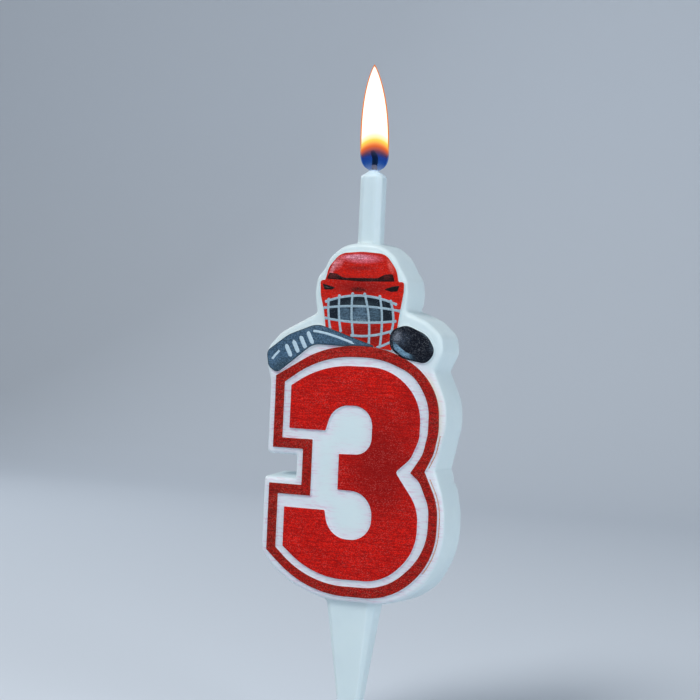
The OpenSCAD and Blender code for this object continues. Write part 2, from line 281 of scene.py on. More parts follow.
class Artwork:
    """The slab's outline and everything drawn or raised on its front, in millimetres."""

    wire_w: float = 0.62
    knob_r: float = 0.38
    mark_w: float = 0.62
    tape_w: float = 1.04
    stray_gap: Pair = (0.30, 0.46)
    tape_first: Pair = (-15.55, 52.05)
    tape_step: Pair = (1.62, 0.98)
    tape_half: Pair = (-0.75, 1.45)
    tape_count: int = 4

    slab_outline = Outline((
        (10.4, 0.2, 16), (16.75, 4.8, 10), (20.65, 12.1, 18), (20.65, 19.7, 9), (19.85, 24, 9),
        (18.15, 28.8, 1), (20.1, 38.1, 12), (19.9, 42.6, 10), (16.95, 49.2, 0.9), (18.7, 53, 2.6),
        (18.35, 56.4, 3.5), (15, 59.3, 6), (10.2, 61.2, 0.8), (10.55, 64.9, 8), (10.15, 67.7, 3),
        (8.85, 69.7, 2.5), (7.4, 72.3, 5), (4.6, 74.6, 6), (0.2, 75.5, 14), (-4.4, 74.6, 6),
        (-7.3, 72.2, 5), (-8.55, 69.6, 2.5), (-10.05, 67.8, 3), (-10.5, 64.6, 8), (-9.8, 60.3, 0.8),
        (-17.9, 55.9, 7), (-20.85, 52.6, 3.5), (-21.05, 49.9, 2.5), (-19.85, 45.5, 8),
        (-19.85, 30.05, 0.9), (-13, 30.05, 0.4), (-13, 25.25, 0.3), (-20.3, 25.25, 0.9),
        (-20.3, 9.4, 5), (-17.8, 6.2, 10), (-13.5, 3.1, 16), (-5.4, 0, 20)))
    band_outline = Outline((
        (-9.1, 1.3, 23), (10.2, 1.45, 15.3), (19.25, 10.75, 15.3), (19.25, 22, 13), (16.1, 28.5, 0.15),
        (17.9, 32.3, 8), (18.8, 37, 12), (18.45, 44.2, 12), (13.9, 49.9, 14), (6.1, 53.65, 20),
        (-6.7, 53.65, 24), (-18.25, 46.7, 0.15), (-18.25, 31.45, 0.15), (-11.25, 31.45, 0.15),
        (-11.25, 23.85, 0.15), (-18.75, 23.85, 0.15), (-18.75, 9.6, 0.3)))
    groove_outline = Outline((
        (-8.6, 3.2, 21), (8.9, 3.7, 13), (17.3, 12, 13), (17.3, 21.3, 8), (15, 26.4, 4),
        (12.95, 28.05, 0.15), (15.5, 32, 6), (16.4, 36.2, 8), (16.45, 42.2, 10), (13, 48.2, 9),
        (5.2, 51.3, 18), (-7.7, 51.3, 23), (-16.1, 45.45, 0.15), (-16.1, 33.6, 0.15),
        (-9.1, 33.6, 0.15), (-9.1, 21.7, 0.15), (-16.6, 21.7, 0.15), (-16.6, 10.3, 0.3)))
    fill_outline = Outline((
        (-15, 10.7, 0.2), (-7.5, 4.65, 19), (8.1, 5.05, 11), (15, 12, 11), (15, 20.9, 9),
        (9.75, 28, 0.6), (12.9, 30.9, 4), (14.65, 35.1, 6), (14.7, 42.65, 10.5), (8, 49.4, 12),
        (-7.3, 49.45, 22), (-14.6, 44.8, 0.3), (-14.6, 35.7, 0.15), (-6.3, 35.65, 0.15),
        (-4.7, 41.15, 4.6), (4.15, 41.15, 4.2), (4.15, 31.1, 3.6), (-3, 30.95, 0.15), (-3, 23.45, 0.15),
        (4.85, 23.4, 4.9), (4.85, 13.25, 4.5), (-4.6, 13.25, 5), (-5.7, 19, 0.15), (-15, 19, 0.15)))
    helmet_outline = Outline((
        (-6.6, 54.5, 0.2), (2, 53.8, 3), (7.6, 53, 0.2), (8.75, 57.9, 1), (9.05, 60.3, 6), (9.8, 65.2, 5),
        (9.8, 67.3, 0.6), (8.55, 67.2, 0.3), (8, 69.7, 5), (5.5, 72.95, 3.2), (0.3, 73.35, 14),
        (-4.7, 72.95, 3.6), (-7.2, 70, 4), (-7.85, 67.3, 0.3), (-9, 67.2, 0.6), (-8.75, 64, 4),
        (-7.9, 61, 5), (-7.3, 57, 1)), step=0.35)
    brow_outline = Outline((
        (-7.6, 67.45, 0.2), (0, 67.05, 20), (7.8, 67.2, 0.2), (7.3, 68.9, 0.6), (5.4, 68.75, 1.5),
        (3.9, 67.95, 2), (-3.7, 67.9, 2), (-5.3, 68.7, 1.5), (-7, 68.9, 0.6)), step=0.25)
    left_vent_outline = Outline((
        (-8.6, 66.6, 0.15), (-7.95, 65.15, 0.4), (-6.2, 65.2, 0.4), (-5.25, 65.75, 0.15),
        (-7.2, 66.25, 1)), step=0.15, least_round=0.05)
    right_vent_outline = Outline((
        (5.2, 65.6, 0.15), (7, 65.05, 0.5), (8.5, 65.2, 0.3), (8.9, 66.5, 0.15),
        (7.3, 66.35, 1)), step=0.15, least_round=0.05)
    window_outline = Outline((
        (-6.65, 59, 0.3), (0.5, 58.45, 20), (7.8, 59, 0.3), (7.65, 61.2, 3), (7.15, 62.9, 0.3),
        (4.8, 63.7, 4), (0.3, 64.35, 12), (-4.6, 63.7, 4), (-6.9, 62.95, 0.3)), step=0.3)
    stick_outline = Outline((
        (-18.1, 47.15, 1.5), (-10, 53.65, 4), (5.4, 53.3, 0.3), (-9.2, 58.05, 5), (-15.8, 55.5, 10),
        (-20.7, 51.8, 1.6), (-20.2, 48.6, 1.8)), step=0.35)
    puck_outline = Outline((
        (10, 51.5, 4), (15.4, 50.5, 2.2), (17.3, 53.15, 2.3), (15.4, 56.5, 4.5), (10.7, 58.45, 3.2),
        (7, 57.2, 2.4), (7.3, 53.5, 2.5)), step=0.3)
    puck_rim_outline = Outline((
        (10.1, 51.9, 2), (13.3, 51.05, 0.3), (12.9, 52.3, 0.3), (10.8, 52.9, 4), (7.7, 55.4, 0.2),
        (8.1, 53.4, 1)), step=0.2)
    cage_wires = (
        ((-7.4, 62.75), (0.3, 65.65), (8.2, 62.6)), ((-7.7, 61.4), (0.4, 62.6), (9, 61.25)),
        ((-7.4, 59.25), (0.4, 58), (8.2, 59.1)), ((-1.3, 55.85), (3, 55.4), (7.7, 57.1)),
        ((4.6, 53.55), (6, 54.05), (7.4, 54.75)), ((-6.85, 63.2), (-7, 60.5), (-6.3, 57.3)),
        ((-4.5, 64), (-4.6, 60), (-3.85, 56.7)), ((-1.5, 64.5), (-1.85, 60.5), (-1, 55.8)),
        ((1.2, 64.5), (2.75, 60), (2.6, 54.4)), ((4.6, 64.1), (5.7, 60), (5.1, 53.8)),
        ((7.05, 63.2), (8.35, 59.5), (7.4, 56.6)))
    blade_line = ((-10.4, 56.45), (-7.2, 56.45), (-0.45, 54.05))
    toe_mark = ((-19.35, 50), (-18.6, 51.1), (-17.55, 52.1))
    stray_reach = Outline(((16.2, 7.4, 0.2), (23, 11, 0.2), (23, 24, 0.2), (15.6, 27.9, 0.2)))
    stray_upper_reach = Outline(((16, 29.3, 0.2), (23, 29.3, 0.2), (23, 36, 0.2), (16, 36, 0.2)))

    def __init__(self) -> None:
        """Works out each printed area from the outlines."""
        self.slab = self.slab_outline.area()
        self.numeral = self.band_outline.area()
        self.puck = self.puck_outline.area()
        self.fill = self.fill_outline.area()
        self.groove = self.groove_outline.area()
        self.band = self.numeral - self.groove - self.puck
        self.stick = self.stick_outline.area() - self.numeral
        self.helmet = self.helmet_outline.area() - self.numeral - self.stick_outline.area() - self.puck
        wires = [ribbon(path, self.wire_w) for path in self.cage_wires]
        knobs = [disc(end, self.knob_r) for path in self.cage_wires for end in (path[0], path[-1])]
        self.cage = reduce(Area.__or__, wires + knobs) & self.helmet
        self.windows = self.window_outline.area()
        self.brow = self.brow_outline.area()
        self.vents = self.left_vent_outline.area() | self.right_vent_outline.area()
        self.rim = self.puck_rim_outline.area() & self.puck
        self.marks = reduce(Area.__or__, self._marks()) & self.stick
        near, far = self.stray_gap
        self.stray = (self.band_outline.area(far) - self.band_outline.area(near)) \
            & (self.stray_reach.area() | self.stray_upper_reach.area())
        self.raised = (self.numeral - self.groove) | self.fill \
            | self.helmet_outline.area() | self.stick_outline.area() | self.puck

    def _marks(self) -> list[Area]:
        """Returns the light line, the toe's dash and the tape stripes of the stick."""
        first, step, half = (np.array(v) for v in (self.tape_first, self.tape_step, self.tape_half))
        marks = [ribbon(self.blade_line, self.mark_w), ribbon(self.toe_mark, self.mark_w)]
        for k in range(self.tape_count):
            middle = first + k * step
            marks.append(ribbon((middle - half, middle, middle + half), self.tape_w, 4))
        return marks


# ---- meshes ----


class Draft:
    """Vertices and faces, in millimetres, collected before they become one mesh."""

    def __init__(self) -> None:
        """Starts with nothing."""
        self.spots: list[Array] = []
        self.faces: list[tuple[int, ...]] = []
        self.count = 0

    def add(self, spots: Array) -> int:
        """Adds vertices and returns the number of the first."""
        self.spots.append(np.asarray(spots, float))
        self.count += len(spots)
        return self.count - len(spots)

    def cover(self, spots: Array, triangles: Array, back: Array) -> None:
        """Adds triangles between corners (across, up) that lie so far back."""
        numbers = triangles + self.add(standing(spots, back))
        self.faces.extend(tuple(corners) for corners in numbers.tolist())

    def skin(self, rings: Sequence[Array]) -> list[int]:
        """Skins rings of equal length.

        Args:
            rings: The rings, each anticlockwise as seen from the end that the skin runs to.

        Returns:
            The number of each ring's first vertex.
        """
        starts = [self.add(ring) for ring in rings]
        size = len(rings[0])
        for low, high in zip(starts, starts[1:]):
            for i in range(size):
                j = (i + 1) % size
                self.faces.append((low + i, low + j, high + j, high + i))
        return starts

    def fan(self, start: int, size: int, hub: Sequence[float], up: bool = True) -> None:
        """Closes a ring with triangles round a hub.

        Args:
            start: The ring's first vertex.
            size: The ring's number of vertices.
            hub: Where the triangles meet.
            up: Whether the ring runs anticlockwise as seen from outside.
        """
        centre = self.add(np.array([hub]))
        for i in range(size):
            pair = (start + i, start + (i + 1) % size)
            self.faces.append((*(pair if up else pair[::-1]), centre))

    def mesh(self, name: str, weld: float = 0.0) -> Mesh:
        """Makes the mesh, in metres.

        Args:
            name: The mesh's name.
            weld: Vertices closer than this, in millimetres, become one.

        Returns:
            The mesh, shaded smooth.
        """
        spots, faces = np.concatenate(self.spots), self.faces
        if weld:
            keys = np.round(spots / weld).astype(np.int64)
            _, first, place = np.unique(keys, axis=0, return_index=True, return_inverse=True)
            place = place.reshape(-1)
            spots = spots[first]
            faces = [tuple(int(place[i]) for i in face) for face in faces]
            faces = [face for face in faces if len(set(face)) == len(face)]
        made = bpy.data.meshes.new(name)
        made.from_pydata((spots * MM).tolist(), [], faces)
        made.validate()
        made.shade_smooth()
        return made


def tube(rings: Sequence[Array], low_hub: Sequence[float], high_hub: Sequence[float]) -> Draft:
    """Returns a skin over rings, closed at both ends with triangles round a hub.

    Args:
        rings: The rings, each anticlockwise as seen from the end that the skin runs to.
        low_hub: Where the first ring's triangles meet.
        high_hub: Where the last ring's triangles meet.

    Returns:
        The draft.
    """
    draft = Draft()
    starts = draft.skin(rings)
    draft.fan(starts[0], len(rings[0]), low_hub, up=False)
    draft.fan(starts[-1], len(rings[0]), high_hub)
    return draft


def tiles(lines: Sequence[Array], loose: Array, keep: Callable[[Array], Array]) -> tuple[Array, Array]:
    """Covers a flat area with triangles.

    Args:
        lines: Closed lines that the triangles' edges follow.
        loose: Further corners between the lines.
        keep: Says, for each triangle's middle, whether it belongs to the area.

    Returns:
        The corners (across, up), and the triangles, anticlockwise from the front.
    """
    points: list[Vector] = []
    edges: list[tuple[int, int]] = []
    for line in lines:
        start = len(points)
        points.extend(Vector(point) for point in line)
        edges.extend((start + k, start + (k + 1) % len(line)) for k in range(len(line)))
    points.extend(Vector(point) for point in loose)
    corners, _, faces, *_ = delaunay_2d_cdt(points, edges, [], 0, SAME_PLACE, False)
    spots = np.array([tuple(corner) for corner in corners])
    triangles = np.array([tuple(face) for face in faces])
    return spots, triangles[keep(spots[triangles].mean(axis=1))]


def lattice(low: Array, high: Array, pitch: float) -> Array:
    """Returns points in staggered rows over a box, a pitch apart."""
    rows = []
    for k, up in enumerate(np.arange(low[1], high[1], pitch * ROW_SHARE)):
        across = np.arange(low[0] + (k % 2) * pitch / 2, high[0], pitch)
        rows.append(np.stack([across, np.full(len(across), up)], axis=1))
    return np.concatenate(rows)


def note(mesh: Mesh, name: str, values: Array) -> None:
    """Notes a value on each vertex, for a finish to read."""
    mesh.attributes.new(name, "FLOAT", "POINT").data.foreach_set("value", values.astype(np.float32))


def link_new(name: str, data: bpy.types.ID) -> bpy.types.Object:
    """Returns a new object that is in the scene."""
    made = bpy.data.objects.new(name, data)
    bpy.context.scene.collection.objects.link(made)
    return made


def place_piece(mesh: Mesh, finish: Material, slot: Slot, *nodes: str) -> None:
    """Puts a finished piece, named like its mesh, into the model.

    Args:
        mesh: Its mesh, in metres and in place.
        finish: Its material.
        slot: The record's material slot; not used.
        *nodes: The CAD nodes that it stands for.
    """
    piece = link_new(mesh.name, mesh)
    mesh.materials.append(finish)
    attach(piece, "root")
    if nodes:
        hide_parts(*nodes)
    LOG.info("%s: %d faces", piece.name, len(mesh.polygons))


# ---- finishes ----


@dataclass(frozen=True)
class Tone:
    """A soft oval of another colour on the front, in millimetres, slanted anticlockwise in degrees.

    `reach` holds its half sizes, `share` how strong it is, and `soft` the part of it that fades.
    """

    colour: Colour
    centre: Pair
    reach: Pair
    share: float = 1.0
    soft: float = 0.75
    slant: float = 0.0


@dataclass(frozen=True)
class Grain:
    """A noise with grains of `pitch` millimetres, which `stretch` makes longer along X, Y and Z.

    `detail` is its number of finer layers and `rough` their share. Where there is a `span` of its
    values, mostly near a half, that is softly stretched to `to`.
    """

    pitch: float
    stretch: Corner = (1, 1, 1)
    detail: float = 2.0
    rough: float = 0.5
    span: Pair | None = None
    to: Pair = (0.0, 1.0)


class Bench:
    """A node material in the making."""

    def __init__(self, name: str) -> None:
        """Starts an empty node material."""
        self.material = bpy.data.materials.new(name)
        self.material.use_nodes = True
        self.tree = self.material.node_tree
        self.tree.nodes.clear()
        self.place = self.add("ShaderNodeTexCoord").outputs["Object"]

    def add(self, kind: str, inputs: dict[str | int, object] | None = None,
            **settings: object) -> bpy.types.Node:
        """Adds a node.

        Args:
            kind: The node's type.
            inputs: Socket names or numbers, each with its value or the socket that feeds it.
            **settings: The node's own properties.

        Returns:
            The node.
        """
        node = self.tree.nodes.new(kind)
        for key, value in settings.items():
            setattr(node, key, value)
        for key, value in (inputs or {}).items():
            if isinstance(value, Socket):
                self.tree.links.new(value, node.inputs[key])
            else:
                node.inputs[key].default_value = value
        return node

    def grain(self, kind: Grain) -> Socket:
        """Returns a noise value.

        Args:
            kind: The noise.

        Returns:
            The value's socket, 0 to 1 where its kind says nothing else.
        """
        spread = self.add("ShaderNodeMapping", {"Vector": self.place,
                                                "Scale": tuple(1 / s for s in kind.stretch)})
        noise = self.add("ShaderNodeTexNoise", {
            "Vector": spread.outputs[0], "Scale": 1 / (kind.pitch * MM), "Detail": kind.detail,
            "Roughness": kind.rough}).outputs["Fac"]
        return self.span(noise, *kind.span, *kind.to) if kind.span else noise

    def noted(self, name: str) -> Socket:
        """Returns a value noted on the mesh's vertices."""
        return self.add("ShaderNodeAttribute", attribute_name=name).outputs["Fac"]

    def span(self, value: Socket, low: float = 0.0, high: float = 1.0, to_low: float = 0.0,
             to_high: float = 1.0) -> Socket:
        """Returns a value softly stretched from one span to another."""
        node = self.add("ShaderNodeMapRange", {"Value": value, "From Min": low, "From Max": high,
                                               "To Min": to_low, "To Max": to_high},
                        interpolation_type="SMOOTHSTEP")
        return node.outputs["Result"]

    def sum(self, operation: str, first: Socket | float, second: Socket | float) -> Socket:
        """Returns the result of one arithmetic operation."""
        return self.add("ShaderNodeMath", {0: first, 1: second}, operation=operation).outputs[0]

    def times(self, first: Socket | float, second: Socket | float) -> Socket:
        """Returns the product of two values."""
        return self.sum("MULTIPLY", first, second)

    def blend(self, share: Socket | float, first: Socket | Colour, second: Socket | Colour) -> Socket:
        """Returns a mix of two colours."""
        both = [c if isinstance(c, Socket) else (*c, 1.0) for c in (first, second)]
        return self.add("ShaderNodeMixRGB", {"Fac": share, "Color1": both[0],
                                             "Color2": both[1]}).outputs["Color"]

    def spot(self, tone: Tone) -> Socket:
        """Returns a tone's soft oval mask.

        Args:
            tone: The tone.

        Returns:
            The mask's socket, the tone's share in the middle and 0 outside.
        """
        across, up = tone.centre
        moved = self.add("ShaderNodeVectorMath", {0: self.place, 1: (-across * MM, 0.0, -up * MM)},
                         operation="ADD")
        turned = self.add("ShaderNodeVectorRotate", {"Vector": moved.outputs[0], "Axis": (0.0, 1.0, 0.0),
                                                     "Angle": math.radians(tone.slant)})
        scale = (1 / (tone.reach[0] * MM), 0.0, 1 / (tone.reach[1] * MM))
        scaled = self.add("ShaderNodeVectorMath", {0: turned.outputs[0], 1: scale}, operation="MULTIPLY")
        far = self.add("ShaderNodeVectorMath", {0: scaled.outputs[0]}, operation="LENGTH")
        return self.times(self.span(far.outputs["Value"], 1.0 - tone.soft, 1.0, 1.0, 0.0), tone.share)

    def bump(self, height: Socket, depth: float, share: float) -> Socket:
        """Returns a normal bent by a height value whose full range is `depth` millimetres."""
        return self.add("ShaderNodeBump", {"Height": height, "Distance": depth * MM, "Strength": share}
                        ).outputs["Normal"]

    def shade(self, **sockets: object) -> Material:
        """Finishes the material with one principled shader.

        Args:
            **sockets: Its sockets, with an underscore for each space, and their values.

        Returns:
            The material.
        """
        named = {key.replace("_", " "): value for key, value in sockets.items()}
        return self.close(self.add("ShaderNodeBsdfPrincipled", named))

    def close(self, shader: bpy.types.Node) -> Material:
        """Finishes the material with its last shader and returns it."""
        self.add("ShaderNodeOutputMaterial", {"Surface": shader.outputs[0]})
        return self.material


@dataclass(frozen=True)
class WaxFinish:
    """White paraffin: softly translucent, satin, tinted and faintly oversprayed beside the print, with
    painted shade on the neck.
    """

    colour: Colour = (0.625, 0.745, 0.785)
    cloud: Colour = (0.595, 0.715, 0.76)
    # neck: painted shade, a darker wax colour that stands in for the neck looking darker than the slab
    neck: Colour = (0.56, 0.68, 0.735)
    overspray: Colour = (0.62, 0.34, 0.50)
    tint: Colour = (0.66, 0.71, 0.785)
    cream: Colour = (0.72, 0.68, 0.56)
    neck_shade_from: float = 74.0
    neck_shade_to: float = 79.0
    wave_share: float = 0.75
    clouds: Grain = Grain(9.0, detail=3.0, span=(0.35, 0.7))
    streaks: Grain = Grain(0.34, (6, 6, 1), span=(0.48, 0.70))
    waves: Grain = Grain(2.2)
    pores: Grain = Grain(0.28, detail=3.0, rough=0.6)
    gloss: Grain = Grain(1.6, detail=3.0, span=(0.3, 0.75), to=(0.36, 0.5))

    def make(self) -> Material:
        """Returns the wax's material."""
        bench = Bench("paraffin_wax")
        colour = bench.blend(bench.grain(self.clouds), self.colour, self.cloud)
        height = bench.add("ShaderNodeSeparateXYZ", {"Vector": bench.place}).outputs["Z"]
        # Painted shade: the colour turns to the darker neck colour between these two heights and stays so
        # above them
        colour = bench.blend(bench.span(height, self.neck_shade_from * MM, self.neck_shade_to * MM), colour, self.neck)
        near, spray = bench.noted("overspray"), bench.grain(self.streaks)
        colour = bench.blend(bench.span(near, 0.0, 0.55), colour, self.tint)
        colour = bench.blend(bench.times(bench.times(near, spray), 0.7), colour, self.overspray)
        colour = bench.blend(bench.times(bench.noted("cream"), 0.8), colour, self.cream)
        rise = bench.sum("ADD", bench.times(bench.grain(self.waves), self.wave_share),
                         bench.times(bench.grain(self.pores), 1 - self.wave_share))
        return bench.shade(Base_Color=colour, Roughness=bench.grain(self.gloss),
                           Normal=bench.bump(rise, 0.045, 0.7),
                           Subsurface_Weight=0.35, Subsurface_Radius=(1.0, 0.92, 0.86),
                           Subsurface_Scale=0.0028, Specular_IOR_Level=0.42)


@dataclass(frozen=True)
class InkFinish:
    """Printed ink: fine lines left by the print head, pinholes, glints and soft tones."""

    name: str
    colour: Colour
    deep: Colour
    glint: Colour
    tones: tuple[Tone, ...] = ()
    grain_share: float = 0.7
    line_share: float = 0.3
    glint_share: float = 0.35
    edge: Colour | None = None
    gloss: float = 0.36
    gloss_range: float = 0.16
    shine: float = 0.05
    lines: Grain = Grain(0.20, (16, 16, 1), 2.0, 0.6, (0.44, 0.64))
    weave: Grain = Grain(0.17, (1.6, 1.6, 1), 1.0, 0.4, (0.40, 0.60))
    patches: Grain = Grain(2.6, (1.6, 1.6, 1), span=(0.36, 0.62), to=(0.4, 1.0))
    specks: Grain = Grain(0.155, (1.3, 1.3, 1), 0.0, span=(0.60, 0.72))
    pits: Grain = Grain(0.16)

    def make(self) -> Material:
        """Returns the ink's material."""
        bench = Bench(self.name)
        colour: Socket | Colour = self.colour
        for tone in self.tones:
            colour = bench.blend(bench.spot(tone), colour, tone.colour)
        if self.edge:
            colour = bench.blend(bench.span(bench.noted("edge")), colour, self.edge)
        lines, weave = bench.grain(self.lines), bench.grain(self.weave)
        specks = bench.times(bench.grain(self.specks), bench.grain(self.patches))
        for value, share, other in ((weave, self.grain_share, self.deep), (lines, self.line_share, self.deep),
                                    (specks, self.glint_share, self.glint)):
            colour = bench.blend(bench.times(value, share), colour, other)
        height = bench.sum("ADD", bench.grain(self.pits), lines)
        rough = bench.span(weave, 0.0, 1.0, self.gloss, self.gloss + self.gloss_range)
        return bench.shade(Base_Color=colour, Roughness=rough, Normal=bench.bump(height, 0.02, 0.8),
                           Specular_IOR_Level=self.shine)


@dataclass(frozen=True)
class CottonFinish:
    """A cotton wick: plaited yarn, soaked with wax or burnt to a crust."""

    name: str
    colour: Colour
    dark: Colour
    roughness: float
    yarn: Grain = Grain(0.12, (1, 1, 3), 3.0, 0.7, (0.35, 0.68))

    def make(self) -> Material:
        """Returns the wick's material."""
        bench = Bench(self.name)
        yarn = bench.grain(self.yarn)
        return bench.shade(Base_Color=bench.blend(yarn, self.colour, self.dark), Roughness=self.roughness,
                           Normal=bench.bump(yarn, 0.06, 0.9), Specular_IOR_Level=0.3)


RED_GLINT: Colour = (0.72, 0.15, 0.14)
BRIGHT_RED_INK = InkFinish(
    "bright_red_ink", (0.68, 0.012, 0.007), (0.23, 0.004, 0.004), RED_GLINT,
    (Tone((0.27, 0.007, 0.006), (6.5, 29), (12, 17), 0.9, 0.85),
     Tone((0.44, 0.009, 0.007), (13, 42), (6, 11), 0.7, 0.9)),
    grain_share=0.72, line_share=0.6, glint_share=0.32)
DARK_RED_INK = InkFinish(
    "dark_red_ink", (0.43, 0.011, 0.008), (0.085, 0.006, 0.005), (0.60, 0.20, 0.16),
    (Tone((0.34, 0.013, 0.009), (-18, 16), (6, 14), 0.8), Tone((0.54, 0.022, 0.016), (-1, 51), (10, 4), 0.8),
     Tone((0.44, 0.011, 0.009), (19, 38), (6, 12), 0.8)),
    grain_share=0.68, line_share=0.5, glint_share=0.34, edge=(0.42, 0.030, 0.012))
HELMET_RED_INK = InkFinish(
    "helmet_red_ink", (0.60, 0.014, 0.007), (0.25, 0.006, 0.005), (0.75, 0.26, 0.24),
    (Tone((0.22, 0.008, 0.006), (1.5, 55.9), (8.0, 3.6), 0.95, 0.6),
     Tone((0.27, 0.010, 0.008), (0.4, 65.9), (9.0, 2.4), 0.9, 0.7),
     Tone((0.22, 0.010, 0.010), (0.0, 69.9), (4.6, 0.6), 0.8, 0.8),
     Tone((0.78, 0.17, 0.23), (0.3, 71.9), (5.6, 1.25), 0.95, 0.6),
     Tone((0.90, 0.44, 0.58), (-0.9, 72.2), (4.0, 0.75), 0.85, 0.75),
     Tone((0.76, 0.19, 0.22), (-4.9, 71.0), (1.3, 2.4), 0.85, 0.8, -36),
     Tone((0.88, 0.38, 0.44), (-6.1, 70.0), (0.75, 2.8), 0.9, 0.9, -24),
     Tone((0.80, 0.14, 0.12), (6.7, 70.4), (0.8, 2.4), 0.85, 0.8, 24),
     Tone((0.030, 0.006, 0.006), (-0.3, 65.45), (2.4, 0.7), 1.0, 0.6)),
    grain_share=0.55, line_share=0.4, glint_share=0.18, edge=(0.70, 0.034, 0.008))
BROW_INK = InkFinish("brow_ink", (0.020, 0.006, 0.007), (0.010, 0.004, 0.005), (0.36, 0.15, 0.15),
                     (Tone((0.16, 0.03, 0.03), (-6.0, 68.2), (1.5, 0.8), 0.7),
                      Tone((0.13, 0.02, 0.02), (6.1, 68.2), (1.5, 0.8), 0.7)), glint_share=0.2)
VENT_INK = InkFinish("vent_ink", (0.010, 0.008, 0.009), (0.006, 0.005, 0.006), (0.18, 0.17, 0.18),
                     (Tone((0.14, 0.13, 0.14), (-7.4, 65.75), (1.0, 0.22), 0.6, 0.9, -14),),
                     glint_share=0.15)
WINDOW_INK = InkFinish("window_ink", (0.010, 0.017, 0.027), (0.006, 0.010, 0.016), (0.16, 0.22, 0.28),
                       (Tone((0.085, 0.150, 0.215), (-3.0, 60.1), (1.9, 2.4), 0.95, 0.5),
                        Tone((0.075, 0.135, 0.190), (3.6, 60.1), (1.8, 2.4), 0.95, 0.5),
                        Tone((0.120, 0.205, 0.290), (0.4, 60.0), (2.4, 2.6), 0.95, 0.5),
                        Tone((0.190, 0.290, 0.370), (0.4, 58.9), (2.1, 1.1), 0.8, 0.8),
                        Tone((0.050, 0.080, 0.100), (0.2, 62.5), (4.6, 0.9), 0.75, 0.8)),
                       grain_share=0.5, glint_share=0.25)
WIRE_INK = InkFinish("wire_ink", (0.33, 0.46, 0.55), (0.18, 0.27, 0.34), (0.52, 0.64, 0.72), grain_share=0.5,
                     glint_share=0.3)
SLATE_INK = InkFinish("slate_ink", (0.074, 0.146, 0.240), (0.018, 0.038, 0.060), (0.26, 0.40, 0.50),
                      (Tone((0.13, 0.22, 0.32), (-10.0, 57.3), (9, 0.9), 0.7, 0.8, 10),
                       Tone((0.032, 0.062, 0.090), (-17.3, 48.6), (4.2, 1.8), 0.8, 0.8, 35),
                       Tone((0.035, 0.070, 0.110), (-6, 53.4), (10, 0.8), 0.6, 0.8, 3)),
                      grain_share=0.7, line_share=0.4, glint_share=0.3, edge=(0.034, 0.066, 0.085))
TAPE_INK = InkFinish("tape_ink", (0.46, 0.61, 0.72), (0.33, 0.46, 0.57), (0.66, 0.76, 0.82), grain_share=0.4,
                     glint_share=0.3)
PUCK_INK = InkFinish("puck_ink", (0.007, 0.010, 0.018), (0.004, 0.005, 0.009), (0.30, 0.33, 0.38),
                     (Tone((0.055, 0.075, 0.110), (9.6, 55.4), (3.0, 2.4), 0.85, 0.95, 20),
                      Tone((0.30, 0.34, 0.42), (8.8, 56.0), (1.3, 1.9), 0.6, 0.95, -20),
                      Tone((0.060, 0.085, 0.115), (16.6, 54.0), (1.0, 2.2), 0.7, 0.95, 20),
                      Tone((0.085, 0.125, 0.160), (14.9, 56.5), (2.2, 0.55), 0.75, 0.9, -32)),
                     grain_share=0.65, glint_share=0.32, gloss=0.3)
RIM_INK = InkFinish("rim_ink", (0.012, 0.020, 0.032), (0.008, 0.014, 0.022), (0.30, 0.40, 0.50),
                    (Tone((0.18, 0.34, 0.49), (9.9, 52.9), (3.5, 1.7), 0.97, 0.7, -38),),
                    grain_share=0.5, glint_share=0.15)
STRAY_INK = InkFinish("stray_ink", (0.50, 0.13, 0.03), (0.62, 0.42, 0.24), (0.75, 0.60, 0.45),
                      glint_share=0.3)
WAXED_COTTON = CottonFinish("waxed_cotton", (0.74, 0.54, 0.40), (0.46, 0.30, 0.20), 0.55)
BURNT_COTTON = CottonFinish("burnt_cotton", (0.012, 0.011, 0.012), (0.045, 0.040, 0.042), 0.8)


# ---- the casting ----


